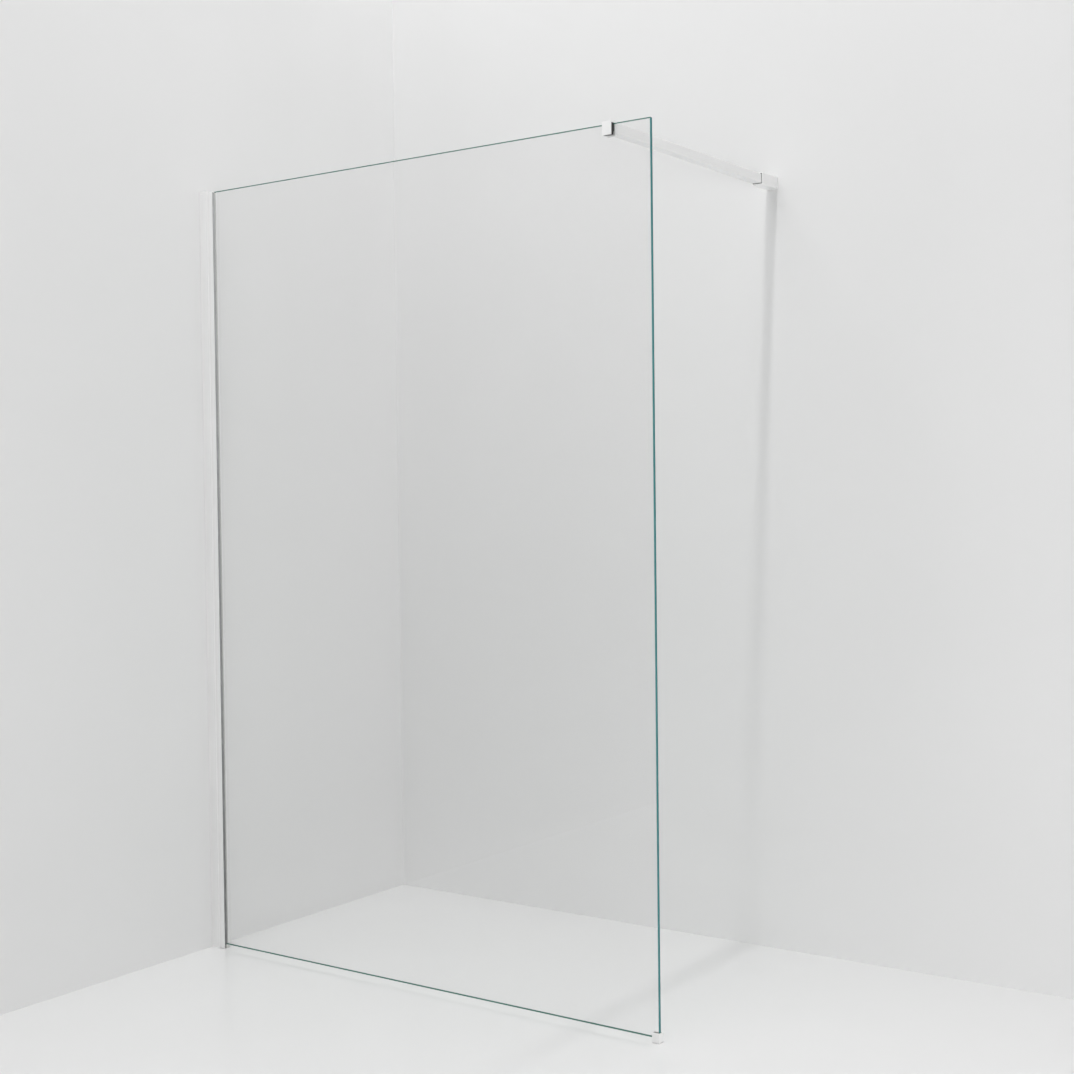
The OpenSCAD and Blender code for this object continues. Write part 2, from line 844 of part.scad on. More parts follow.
// Soft liner in the shoe, under and round the corner of the glass
module foot_liner() {
    color([0.6, 0.62, 0.62])
        difference() {
            box(
                [foot_x0 + liner_back, -foot_slot, glass_z0 - foot_slot],
                [screen_w + foot_slot, glass_t + foot_slot, foot_h + liner_proud]
            );
            box(
                [foot_x0 - cut, -foot_gap, glass_z0 - foot_gap],
                [screen_w + foot_gap, glass_t + foot_gap, foot_h + liner_proud + cut]
            );
        }
}

// Adhesive pad that holds the shoe to the floor
module foot_pad() {
    color([0.45, 0.45, 0.45])
        linear_extrude(height = foot_pad_t)
            round_rect(
                foot_x0 + pad_margin, foot_y0 + pad_margin, foot_x1 - pad_margin, foot_y1 - pad_margin, foot_r
            );
}

in_frame() wall_channel();
in_frame() wall_channel_cap();
in_frame() glazing_channel();
in_frame() glazing_channel_cap();
in_frame() cap_screw();
in_frame() front_gasket();
in_frame() rear_gasket();
in_frame() setting_block();
in_frame() edge_spacers();
in_frame() glass_pane();
in_frame() adjusting_screws();
in_frame() screw_covers();
in_frame() clamp_body();
in_frame() clamp_front_pad();
in_frame() clamp_top_pad();
in_frame() bar_tube();
in_frame() bar_grub_screw();
in_frame() pressure_plate();
in_frame() clamp_rear_pad();
in_frame() clamp_grub_screw();
in_frame() wall_sleeve();
in_frame() sleeve_bush();
in_frame() sleeve_grub_screw();
in_frame() wall_base();
in_frame() foot_shoe();
in_frame() foot_liner();
in_frame() foot_pad();
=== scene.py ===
import json
import math

import bmesh
import bpy
import numpy as np
from mathutils import Matrix, Vector
from mathutils.geometry import tessellate_polygon

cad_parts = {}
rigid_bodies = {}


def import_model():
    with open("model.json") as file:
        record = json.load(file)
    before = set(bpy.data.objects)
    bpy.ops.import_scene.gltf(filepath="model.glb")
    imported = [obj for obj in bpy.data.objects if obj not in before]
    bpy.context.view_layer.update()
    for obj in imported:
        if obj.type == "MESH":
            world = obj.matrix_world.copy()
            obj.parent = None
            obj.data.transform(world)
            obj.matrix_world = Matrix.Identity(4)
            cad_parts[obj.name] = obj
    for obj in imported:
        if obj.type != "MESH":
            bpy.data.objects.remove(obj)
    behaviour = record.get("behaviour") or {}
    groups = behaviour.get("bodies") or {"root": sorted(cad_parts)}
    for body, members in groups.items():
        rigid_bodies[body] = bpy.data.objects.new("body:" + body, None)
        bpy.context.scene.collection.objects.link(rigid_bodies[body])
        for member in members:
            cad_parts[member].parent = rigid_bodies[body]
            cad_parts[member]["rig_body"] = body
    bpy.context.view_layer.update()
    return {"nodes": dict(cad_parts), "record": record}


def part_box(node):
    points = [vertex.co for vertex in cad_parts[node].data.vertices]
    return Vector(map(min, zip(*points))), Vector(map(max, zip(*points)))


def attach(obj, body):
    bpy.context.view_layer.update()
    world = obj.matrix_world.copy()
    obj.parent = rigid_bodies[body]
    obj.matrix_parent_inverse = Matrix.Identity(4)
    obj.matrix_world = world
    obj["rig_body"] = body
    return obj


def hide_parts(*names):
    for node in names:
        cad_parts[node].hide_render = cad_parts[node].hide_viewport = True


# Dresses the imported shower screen: a pale room corner, soft light, a finish for
# every part, and finer shapes where the plain solids are too sharp or too bare.
# Everything is in metres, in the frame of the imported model.

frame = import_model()
parts = frame["nodes"]
mm = 0.001
print("frame loaded,", len(parts), "parts")


# Shader graphs

class Wire:
    # One output of a shader node. Sums, products and comparisons of wires and numbers
    # add their Math nodes; | gives the greater of two.
    def __init__(self, graph, socket):
        self.graph, self.socket = graph, socket

    def math(self, operation, *values):
        return self.graph.node("ShaderNodeMath", {"operation": operation}, dict(enumerate(values)))

    def __add__(self, other):
        return self.math("ADD", self, other)

    def __radd__(self, other):
        return self.math("ADD", other, self)

    def __sub__(self, other):
        return self.math("SUBTRACT", self, other)

    def __mul__(self, other):
        return self.math("MULTIPLY", self, other)

    def __rmul__(self, other):
        return self.math("MULTIPLY", other, self)

    def __truediv__(self, other):
        return self.math("DIVIDE", self, other)

    def __gt__(self, other):
        return self.math("GREATER_THAN", self, other)

    def __lt__(self, other):
        return self.math("LESS_THAN", self, other)

    def __or__(self, other):
        return self.math("MAXIMUM", self, other)

    def __abs__(self):
        return self.math("ABSOLUTE", self)


class Graph:
    # The nodes of one material or of the world
    def __init__(self, owner):
        owner.use_nodes = True
        self.tree = owner.node_tree
        self.tree.nodes.clear()

    def node(self, kind, settings=None, sockets=None, out=0):
        # One node: its settings first, then a value or a wire for each socket
        made = self.tree.nodes.new(kind)
        for name, value in (settings or {}).items():
            setattr(made, name, value)
        for key, value in (sockets or {}).items():
            socket = made.inputs[key]
            if not socket.enabled:
                socket = next(s for s in made.inputs if s.name == key and s.enabled)
            if isinstance(value, Wire):
                self.tree.links.new(value.socket, socket)
            else:
                socket.default_value = fourOf(value) if socket.type == "RGBA" else value
        results = [s for s in made.outputs if s.enabled]
        if not results:
            return None
        return Wire(self, results[out] if isinstance(out, int) else made.outputs[out])


def fourOf(shade):
    # a grey, or three linear values, as Blender's four
    three = (shade,) * 3 if isinstance(shade, (int, float)) else tuple(shade)
    return (*three[:3], 1.0)


def placeOn(g, stretch=None):
    # the place on the piece in metres, stretched where that is asked for
    at = g.node("ShaderNodeTexCoord", out="Object")
    if stretch is None:
        return at
    return g.node("ShaderNodeMapping", sockets={"Vector": at, "Scale": stretch})


def axesOf(g, at):
    # the three parts of a vector
    parted = g.node("ShaderNodeSeparateXYZ", sockets={"Vector": at})
    outs = parted.socket.node.outputs
    return [Wire(g, s) for s in outs]


def noiseAt(g, at, scale, detail=2.0, rough=0.5):
    # a soft random value about 0.5
    return g.node(
        "ShaderNodeTexNoise",
        sockets={"Vector": at, "Scale": scale, "Detail": detail, "Roughness": rough},
    )


def carry(g, value, low, high, toLow=0.0, toHigh=1.0):
    # low..high carried to toLow..toHigh, and held at the ends
    return g.node(
        "ShaderNodeMapRange",
        sockets={
            "Value": value, "From Min": low, "From Max": high,
            "To Min": toLow, "To Max": toHigh,
        },
    )


def tintBetween(g, mask, a, b):
    # colour a where the mask is 0 and b where it is 1
    return g.node("ShaderNodeMix", {"data_type": "RGBA"}, {"Factor": mask, "A": a, "B": b})


def bumpFrom(g, height, depth, onto=None):
    # a height from 0 to 1 that stands depth high, laid over the normal in onto
    sockets = {"Height": height, "Distance": depth, "Strength": 1.0}
    if onto is not None:
        sockets["Normal"] = onto
    return g.node("ShaderNodeBump", sockets=sockets)


def raysOf(g):
    # a function that gives a kind of ray as 0 or 1, or the ray's length
    rays = g.node("ShaderNodeLightPath").socket.node.outputs
    return lambda name: Wire(g, rays[name])


def principled(g, base, rough, more=None):
    # base colour and roughness, and further sockets by their names
    sockets = {"Base Color": base, "Roughness": rough, **(more or {})}
    return g.node("ShaderNodeBsdfPrincipled", sockets=sockets)


def mixed(g, mask, a, b):
    return g.node("ShaderNodeMixShader", sockets={0: mask, 1: a, 2: b})


def finishWith(g, shader):
    g.node("ShaderNodeOutputMaterial", sockets={"Surface": shader})


def newMaterial(name):
    made = bpy.data.materials.new(name)
    return made, Graph(made)


# Finishes

coatLook = {
    "white": (0.885, 0.885, 0.882),
    "shade": (0.855, 0.855, 0.853),   # the coat where it lies a little thinner
    "driftScale": 7.0,
    "rough": (0.33, 0.43),
    "peelScale": 620.0,               # orange peel, about 1.6 mm across
    "peelDepth": 0.035 * mm,
    "grainScale": 4200.0,
    "grainDepth": 0.006 * mm,
}


def powderCoat(name, look):
    # satin powder coat: two whites that drift, orange peel and a fine grain
    made, g = newMaterial(name)
    at = placeOn(g)
    drift = carry(g, noiseAt(g, at, look["driftScale"], 3.0), 0.35, 0.65)
    peel = noiseAt(g, at, look["peelScale"], 1.5, 0.4)
    grain = noiseAt(g, at, look["grainScale"], 1.0)
    speck = carry(g, grain, 0.3, 0.7)
    base = tintBetween(g, drift * 0.7 + speck * 0.3, look["white"], look["shade"])
    low, high = look["rough"]
    rough = carry(g, peel * 0.6 + drift * 0.4, 0.3, 0.7, low, high)
    fine = bumpFrom(g, grain, look["grainDepth"])
    normal = bumpFrom(g, peel, look["peelDepth"], onto=fine)
    finishWith(g, principled(g, base, rough, {"Normal": normal}))
    return made


plasticLook = {
    "white": (0.875, 0.875, 0.870),
    "shade": (0.845, 0.845, 0.838),
    "rough": (0.42, 0.54),
    "sparkScale": 1500.0,             # the spark-eroded texture of a mould
    "sparkDepth": 0.02 * mm,
    "flowScale": 35.0,
}


def mouldedPlastic(name, look):
    # moulded plastic: a spark-eroded skin and faint flow marks
    made, g = newMaterial(name)
    at = placeOn(g)
    cells = g.node(
        "ShaderNodeTexVoronoi", {"feature": "SMOOTH_F1"},
        {"Vector": at, "Scale": look["sparkScale"], "Smoothness": 0.6},
    )
    flow = noiseAt(g, placeOn(g, (1, 1, 0.25)), look["flowScale"], 3.0)
    base = tintBetween(g, carry(g, flow, 0.35, 0.65), look["white"], look["shade"])
    low, high = look["rough"]
    rough = carry(g, flow * 0.5 + cells * 0.5, 0.2, 0.7, low, high)
    normal = bumpFrom(g, cells, look["sparkDepth"])
    finishWith(g, principled(g, base, rough, {"Normal": normal}))
    return made


rubberLook = {
    "dark": (0.030, 0.030, 0.031),
    "bloom": (0.058, 0.058, 0.060),   # the grey bloom that old rubber takes on
    "bloomScale": 45.0,
    "rough": (0.52, 0.68),
    "grainScale": 2600.0,
    "grainDepth": 0.02 * mm,
    "streak": None,                   # stretch of the marks that a die leaves
    "streakDepth": 0.06 * mm,
    "paintedTopLight": None,                      # painted light: height over which it pales towards the top, as if lit from above, and its pale tone
    "paintedTopLightDrift": 0.2,                  # how far the bloom shifts that height, m
}


def extrudedRubber(name, look):
    # dark rubber: fine grain, patches of bloom, die marks where it is extruded, and where asked
    # painted light that pales it towards the top
    made, g = newMaterial(name)
    at = placeOn(g)
    grain = noiseAt(g, at, look["grainScale"], 2.0, 0.6)
    bloom = carry(g, noiseAt(g, at, look["bloomScale"], 4.0, 0.6), 0.42, 0.68)
    base = tintBetween(g, bloom * 0.7 + grain * 0.3, look["dark"], look["bloom"])
    # painted light: the tone pales with height towards the top, as if lit from above
    if look["paintedTopLight"]:
        foot, head, pale = look["paintedTopLight"]
        height = axesOf(g, at)[2] + (bloom - 0.5) * look["paintedTopLightDrift"]
        base = tintBetween(g, carry(g, height, foot, head), base, pale)
    low, high = look["rough"]
    rough = carry(g, grain * 0.5 + bloom * 0.5, 0.2, 0.8, low, high)
    normal = bumpFrom(g, grain, look["grainDepth"])
    if look["streak"]:
        marks = noiseAt(g, placeOn(g, look["streak"]), 1.0, 2.0)
        normal = bumpFrom(g, marks, look["streakDepth"], onto=normal)
    finishWith(g, principled(g, base, rough, {"Normal": normal}))
    return made


steelLook = {
    "light": (0.60, 0.60, 0.59),
    "dark": (0.44, 0.44, 0.44),
    "rough": (0.22, 0.38),
    "turnScale": (5200.0, 5200.0, 60.0),   # fine marks of turning and rolling
    "turnDepth": 0.012 * mm,
    "stainScale": 260.0,
}


def turnedSteel(name, look):
    # stainless screws: fine tool marks and faint stains
    made, g = newMaterial(name)
    marks = noiseAt(g, placeOn(g, look["turnScale"]), 1.0, 2.0)
    stains = carry(g, noiseAt(g, placeOn(g), look["stainScale"], 3.0), 0.4, 0.7)
    base = tintBetween(g, stains * 0.6 + marks * 0.4, look["light"], look["dark"])
    low, high = look["rough"]
    rough = carry(g, marks * 0.6 + stains * 0.4, 0.3, 0.7, low, high)
    normal = bumpFrom(g, marks, look["turnDepth"])
    finishWith(g, principled(g, base, rough, {"Metallic": 1.0, "Normal": normal}))
    return made


zincLook = {
    "light": (0.56, 0.56, 0.57),
    "dark": (0.43, 0.43, 0.44),
    "rough": (0.38, 0.58),
    "skinScale": 900.0,
    "skinDepth": 0.05 * mm,
    "pitScale": 420.0,
}


def castZinc(name, look):
    # bare cast metal: a grainy skin with small pits
    made, g = newMaterial(name)
    at = placeOn(g)
    skin = noiseAt(g, at, look["skinScale"], 4.0, 0.6)
    cells = g.node("ShaderNodeTexVoronoi", None, {"Vector": at, "Scale": look["pitScale"]})
    pits = carry(g, cells, 0.04, 0.12)
    base = tintBetween(g, skin, look["light"], look["dark"])
    low, high = look["rough"]
    rough = carry(g, skin, 0.3, 0.7, low, high)
    normal = bumpFrom(g, skin * 0.7 + pits * 0.3, look["skinDepth"])
    finishWith(g, principled(g, base, rough, {"Metallic": 0.95, "Normal": normal}))
    return made


linerLook = {
    "clear": (0.42, 0.43, 0.43),
    "worn": (0.34, 0.35, 0.35),
    "rough": (0.30, 0.42),
    "flowScale": 220.0,
    "flowDepth": 0.03 * mm,
}


def softLiner(name, look):
    # translucent soft plastic with a faint flow pattern
    made, g = newMaterial(name)
    flow = noiseAt(g, placeOn(g, (1, 1, 0.3)), look["flowScale"], 3.0)
    base = tintBetween(g, carry(g, flow, 0.35, 0.65), look["clear"], look["worn"])
    low, high = look["rough"]
    rough = carry(g, flow, 0.3, 0.7, low, high)
    normal = bumpFrom(g, flow, look["flowDepth"])
    finishWith(g, principled(g, base, rough, {
        "Normal": normal, "Subsurface Weight": 0.3, "Subsurface Scale": 1.0 * mm}))
    return made


foamLook = {
    "skin": (0.62, 0.62, 0.62),
    "cell": (0.44, 0.44, 0.44),
    "cellScale": 1900.0,
    "cellDepth": 0.12 * mm,
    "rough": (0.7, 0.9),
}


def closedFoam(name, look):
    # closed-cell foam: small round cells between pale walls
    made, g = newMaterial(name)
    cells = g.node(
        "ShaderNodeTexVoronoi", None, {"Vector": placeOn(g), "Scale": look["cellScale"]},
    )
    base = tintBetween(g, carry(g, cells, 0.2, 0.7), look["cell"], look["skin"])
    rough = carry(g, cells, 0, 1, *look["rough"])
    normal = bumpFrom(g, cells, look["cellDepth"])
    finishWith(g, principled(g, base, rough, {"Normal": normal}))
    return made


glassLook = {
    "tint": (0.968, 0.9655, 0.967),      # what each face of the sheet lets through
    "ior": 1.5,
    "arris": 1.3 * mm,                   # how far in from the edge the grinding reaches
    "topArris": 1.45 * mm,               # and from the upper and the lower edge
    "lowArris": 2.1 * mm,
    "sideDeep": (0.010, 0.150, 0.160),   # the free edge, seen along the glass
    "sidePale": (0.027, 0.218, 0.226),
    "lowDeep": (0.010, 0.115, 0.080),    # the upper and lower edges
    "sideGround": (0.046, 0.228, 0.238), # the frosted bevels
    "lowGround": (0.034, 0.160, 0.118),
    "bevelFrom": (0.78, 0.86),           # where they begin, from the core to the face
    "polish": (0.12, 0.55),              # roughness of the core and of the bevels
    "lineScale": (1400.0, 1400.0, 1400.0),
    "lineDepth": 0.02 * mm,
    "cloudScale": 18.0,
    "passes": (0.94, 0.95, 0.945),       # what a lamp sends through the sheet
}


def clearGlass(name, look, low, high):
    # clear sheet; along its edges a ground and polished band, deep green inside
    made, g = newMaterial(name)
    x, y, z = axesOf(g, placeOn(g))
    reach = look["arris"]
    sideBand = (x > high.x - reach) | (x < low.x + reach)
    levelBand = (z > high.z - look["topArris"]) | (z < low.z + look["lowArris"])
    edge = sideBand | levelBand
    middle, half = (low.y + high.y) / 2, (high.y - low.y) / 2
    across = abs(y - middle) / half                      # 0 in the core, 1 at the faces
    bevel = carry(g, across, *look["bevelFrom"])
    lines = noiseAt(g, placeOn(g, look["lineScale"]), 1.0, 2.0)
    cloud = noiseAt(g, placeOn(g), look["cloudScale"], 3.0)
    depth = carry(g, across * 0.6 + cloud * 0.4, 0.2, 0.8)
    side = tintBetween(g, depth, look["sideDeep"], look["sidePale"])
    core = tintBetween(g, levelBand, side, look["lowDeep"])
    ground = tintBetween(g, levelBand, look["sideGround"], look["lowGround"])
    tone = tintBetween(g, bevel * (0.55 + 0.45 * lines), core, ground)
    rough = carry(g, bevel + lines * 0.3, 0, 1.3, *look["polish"])
    normal = bumpFrom(g, lines * bevel, look["lineDepth"])
    band = principled(g, tone, rough, {"Normal": normal, "IOR": look["ior"]})
    sheet = principled(
        g, look["tint"], 0.0, {"Transmission Weight": 1.0, "IOR": look["ior"]})
    ray = raysOf(g)
    through = g.node("ShaderNodeBsdfTransparent", sockets={"Color": look["passes"]})
    pane = mixed(g, edge, sheet, band)
    lit = ray("Is Shadow Ray") | ray("Is Diffuse Ray")
    finishWith(g, mixed(g, lit, pane, through))          # lamps shine through it
    return made


finishes = {
    "white_coat": powderCoat("whiteCoat", coatLook),
    "white_plastic": mouldedPlastic("whitePlastic", plasticLook),
    "pale_plastic": mouldedPlastic("palePlastic", {
        **plasticLook, "white": (0.66, 0.66, 0.64), "shade": (0.60, 0.60, 0.58)}),
    "dark_rubber": extrudedRubber("darkRubber", rubberLook),
    "steel": turnedSteel("turnedSteel", steelLook),
    "cast_zinc": castZinc("castZinc", zincLook),
    "clear_liner": softLiner("softLiner", linerLook),
    "grey_foam": closedFoam("greyFoam", foamLook),
}
# the front gasket: grey rubber, with painted light that pales it towards the top
gasketRubber = extrudedRubber("gasketRubber", {
    **rubberLook, "dark": (0.160, 0.160, 0.163), "bloom": (0.215, 0.215, 0.218),
    "streak": (1600.0, 1600.0, 6.0), "paintedTopLight": (0.0, 2.1, (0.44, 0.44, 0.445)),
})
paleGasket = extrudedRubber("paleGasket", {
    **rubberLook, "dark": (0.88, 0.88, 0.875), "bloom": (0.93, 0.93, 0.925),
    "streak": (1600.0, 1600.0, 6.0),
})
print("finishes made")

# Every part takes the finish of its material slot in the record

slotOf = {row["node"]: row["material_slot"] for row in frame["record"]["subparts"]}


def dress(obj, material):
    if obj.material_slots:
        for held in obj.material_slots:
            held.material = material
    else:
        obj.data.materials.append(material)


glassLow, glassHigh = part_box("glass_pane")
finishes["clear_glass"] = clearGlass("clearGlass", glassLook, glassLow, glassHigh)
for name, obj in parts.items():
    dress(obj, finishes[slotOf[name]])
print("parts dressed")

# New pieces: surfaces on a grid of points, worked out as whole arrays

def meshPiece(name, points, faces):
    # a new object at the origin from arrays of points and corners of faces
    mesh = bpy.data.meshes.new(name)
    mesh.from_pydata(points, [], faces)
    made = bpy.data.objects.new(name, mesh)
    bpy.context.scene.collection.objects.link(made)
    return made


def closeUp(piece, gap=0.001 * mm):
    # points that meet are merged, then every face is turned outwards
    form = bmesh.new()
    form.from_mesh(piece.data)
    bmesh.ops.remove_doubles(form, verts=form.verts, dist=gap)
    bmesh.ops.dissolve_degenerate(form, edges=form.edges, dist=gap)
    bmesh.ops.recalc_face_normals(form, faces=form.faces)
    form.to_mesh(piece.data)
    form.free()


def smoothUpTo(piece, degrees):
    piece.data.polygons.foreach_set("use_smooth", [True] * len(piece.data.polygons))
    piece.data.set_sharp_from_angle(angle=math.radians(degrees))


sharpFrom = 32                             # edges of more degrees than this stay sharp


def gridPiece(name, grid, ends="capped"):
    # grid: rows of rings. Each ring is closed; the first and last rings get a cap,
    # or are joined to each other.
    rows, columns = grid.shape[:2]
    here = np.arange(rows * columns).reshape(rows, columns)
    beside = np.roll(here, -1, axis=1)
    if ends == "joined":
        above, aboveBeside = np.roll(here, -1, axis=0), np.roll(beside, -1, axis=0)
    else:
        here, beside, above, aboveBeside = here[:-1], beside[:-1], here[1:], beside[1:]
    faces = np.stack([here, beside, aboveBeside, above], axis=-1).reshape(-1, 4).tolist()
    if ends == "capped":
        ring = np.arange(columns)
        faces += [ring[::-1].tolist(), (ring + (rows - 1) * columns).tolist()]
    made = meshPiece(name, grid.reshape(-1, 3).tolist(), faces)
    closeUp(made)
    smoothUpTo(made, sharpFrom)
    return made


def easedOutline(corners, reach, steps=5):
    # Each corner p becomes the curve (1-u)^2 a + 2u(1-u) p + u^2 b, where a and b lie
    # on its two sides, reach away from it but within the side's half, and u runs from
    # 0 to 1.
    p = np.array(corners, float)
    before, after = np.roll(p, 1, axis=0) - p, np.roll(p, -1, axis=0) - p
    spanBefore = np.linalg.norm(before, axis=1, keepdims=True)
    spanAfter = np.linalg.norm(after, axis=1, keepdims=True)
    cut = np.minimum(reach, 0.45 * np.minimum(spanBefore, spanAfter))
    a, b = p + before / spanBefore * cut, p + after / spanAfter * cut
    u = np.linspace(0, 1, steps)[None, :, None]
    curve = (1 - u) ** 2 * a[:, None] + 2 * u * (1 - u) * p[:, None] + u ** 2 * b[:, None]
    return curve.reshape(-1, 2)


def squareRound(steps=7):
    # directions round a square with rounded corners: for each station the corner it
    # belongs to, as (+-1, +-1), and the direction out of that corner's centre
    quarter = np.repeat(np.arange(4), steps)
    angle = (quarter + np.tile(np.linspace(0, 1, steps), 4)) * math.pi / 2
    corner = np.stack([np.sign(np.cos((quarter + 0.5) * math.pi / 2)),
                       np.sign(np.sin((quarter + 0.5) * math.pi / 2))], axis=-1)
    return corner, np.stack([np.cos(angle), np.sin(angle)], axis=-1)


def settle(piece, node, material):
    # the piece stands for the node: same body, the finish it is given, and the node hidden
    piece.data.materials.append(material)
    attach(piece, parts[node]["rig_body"])
    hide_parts(node)


# Front gasket: a foot in the channel's hooks, a neck, and a nose whose open side is
# drawn in between two thin lips, one on the channel and one on the glass. Two hollow
# cells let it give.

frontGasket = {
    "hollow": 0.45,        # how far the open side is drawn in, mm
    "bow": 0.05,           # and how much further in its middle
    "lip": 0.7,            # height of each lip
    "slope": 1.54,         # where the lip's slope ends
    "ease": 0.30,          # rounding of the corners
    "footTop": 1.45, "footLow": 0.15, "foot": 4.2, "neck": 2.6, "neckAt": 3.25,
    "body": 2.55, "shoulder": 6.65, "lead": 1.5,
    "cells": [                             # middle, half sizes, and power of each cell
        ((3.25, 5.22), (1.2, 1.2), 1.0),
        ((8.80, 3.95), (1.15, 2.4), 0.4),
    ],
}


def frontGasketOutline(look, wide, deep):
    # corners in mm from the box's low X and low Y, once round
    middle, body, lip = look["neckAt"], look["body"], look["lip"]
    neck, foot, inner = look["neck"] / 2, look["foot"] / 2, wide - look["hollow"]
    slope = look["slope"]
    return [
        (look["shoulder"], 0), (wide, 0), (wide, lip), (inner, slope),
        (inner - look["bow"], deep / 2), (inner, deep - slope), (wide, deep - lip), (wide, deep),
        (look["lead"], deep), (0, deep - look["lead"]), (0, body),
        (middle - neck, body), (middle - neck, look["footTop"]),
        (middle - foot, look["footTop"]), (middle - foot, look["footLow"]),
        (middle + foot, look["footLow"]), (middle + foot, look["footTop"]),
        (middle + neck, look["footTop"]), (middle + neck, body), (look["shoulder"], body),
    ]


def cellOutline(middle, half, power, steps=28):
    # half * sign(c) |c|^power, where c is the cosine and the sine of an angle: a circle
    # for power 1, and a rectangle with round corners for a lower one
    turn = np.linspace(0, 2 * math.pi, steps, endpoint=False)
    c = np.stack([np.cos(turn), np.sin(turn)], axis=-1)
    return np.array(middle) + np.array(half) * np.sign(c) * np.abs(c) ** power


def carriedUp(name, outlines, low, high):
    # outlines in X and Y, the first outside and the others its cells, carried
    # straight up from low.z to high.z
    flat = np.concatenate(outlines) * mm + (low.x, low.y)
    count = len(flat)
    foot = np.column_stack([flat, np.full(count, low.z)])
    head = np.column_stack([flat, np.full(count, high.z)])
    lid = np.array(tessellate_polygon([list(map(Vector, one.tolist())) for one in outlines]))
    here = np.arange(count)
    ends = np.cumsum([len(one) for one in outlines])
    beside = here + 1
    beside[ends - 1] = ends - [len(one) for one in outlines]   # each outline closes on itself
    sides = np.stack([here, beside, beside + count, here + count], axis=-1)
    faces = sides.tolist() + lid.tolist() + (lid + count).tolist()
    made = meshPiece(name, np.concatenate([foot, head]).tolist(), faces)
    closeUp(made)
    smoothUpTo(made, sharpFrom)
    return made


low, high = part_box("front_gasket")
outline = easedOutline(
    frontGasketOutline(frontGasket, (high.x - low.x) / mm, (high.y - low.y) / mm),
    frontGasket["ease"])
cells = [cellOutline(*told) for told in frontGasket["cells"]]
settle(carriedUp("front_gasket_lipped", [outline, *cells], low, high),
       "front_gasket", gasketRubber)

# Rear gasket: a strip whose glass side is a row of round ribs

rearGasket = {
    "ribs": 3, "edge": 1.4, "radius": 0.95,
    "gap": 2.2, "stand": 1.0,              # from the channel's lip to the glass, and to the ribs
    "samples": 90,
}


def rearGasketOutline(look, wide, deep):
    # The ribbed side lies at stand from the glass, and over each rib it comes forward
    # by sqrt(radius^2 - d^2), d being the distance from the middle of the nearest rib.
    across = np.linspace(0, wide, look["samples"])
    middles = np.linspace(look["edge"], wide - look["edge"], look["ribs"])
    d = np.abs(across[:, None] - middles[None]).min(axis=1)
    flat = deep - (look["gap"] - look["stand"])
    front = flat - np.sqrt(np.clip(look["radius"] ** 2 - d ** 2, 0, None))
    side = np.stack([across, front], axis=-1)
    return np.concatenate([side, [[wide, deep], [0, deep]]])


low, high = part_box("rear_gasket")
outline = rearGasketOutline(rearGasket, (high.x - low.x) / mm, (high.y - low.y) / mm)
settle(carriedUp("rear_gasket_ribbed", [outline], low, high), "rear_gasket", paleGasket)

# Clamp's front pad: soft block with grooves all round, between the leg and the glass

clampPad = {"corner": 0.9, "grooves": 4, "deep": 0.32, "ease": 0.35, "rows": 73}


def groovedPad(name, look, low, high):
    # v runs from the leg to the glass. The block is drawn in by
    # deep (1 - cos(2 pi grooves v)) / 2, and at both ends by a quarter circle.
    v = np.linspace(0, 1, look["rows"])
    y = low.y + v * (high.y - low.y)
    near = np.minimum(y - low.y, high.y - y) / (look["ease"] * mm)
    drawn = look["deep"] * (1 - np.cos(2 * math.pi * look["grooves"] * v)) / 2
    drawn = drawn + look["ease"] * (1 - np.sqrt(1 - np.clip(1 - near, 0, 1) ** 2))
    corner, way = squareRound()
    half = np.array([high.x - low.x, high.z - low.z]) / 2
    middle = np.array([high.x + low.x, high.z + low.z]) / 2
    out = (look["corner"] - drawn[:, None, None]) * mm * way[None]
    ring = middle + corner[None] * (half - look["corner"] * mm) + out
    return gridPiece(name, np.stack(
        [ring[..., 0], np.broadcast_to(y[:, None], ring.shape[:2]), ring[..., 1]], axis=-1))


settle(groovedPad("clamp_front_pad_grooved", clampPad, *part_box("clamp_front_pad")),
       "clamp_front_pad", finishes["dark_rubber"])

# Bush in the sleeve's mouth: a square ring with a half-round nose

bush = {"inner": 11.7, "innerCorner": 1.0, "outerCorner": 0.25, "nose": 9}


def squareRing(name, look, low, high):
    # Section: the inner wall, a half circle from it to the outer wall, the outer wall.
    # It is carried round a square path; the corner's radius goes evenly from the
    # inner one to the outer one.
    outer = (high.x - low.x) / 2 / mm
    thick = outer - look["inner"]
    turn = np.linspace(0, math.pi, look["nose"])
    size = look["inner"] + thick * (1 - np.cos(turn)) / 2
    depth = thick / 2 * (1 - np.sin(turn))
    long = (high.y - low.y) / mm
    size = np.concatenate([[look["inner"]], size, [outer]])
    depth = np.concatenate([[long], depth, [long]])
    radius = np.interp(size, [look["inner"], outer], [look["innerCorner"], look["outerCorner"]])
    corner, way = squareRound()
    middle = np.array([high.x + low.x, high.z + low.z]) / 2
    ring = corner[:, None] * (size - radius)[None, :, None] + way[:, None] * radius[None, :, None]
    ring = middle + ring * mm
    y = np.broadcast_to(low.y + depth[None] * mm, ring.shape[:2])
    grid = np.stack([ring[..., 0], y, ring[..., 1]], axis=-1)
    return gridPiece(name, grid, ends="joined")


settle(squareRing("sleeve_bush_nosed", bush, *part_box("sleeve_bush")),
       "sleeve_bush", finishes["dark_rubber"])

# Covers of the adjusting screws: three snap-on domes

domes = {
    "rise": 2.35, "wall": 1.0, "power": 2.6, "rim": 0.25,
    "around": 64, "over": 20, "sharpFrom": 40,
}


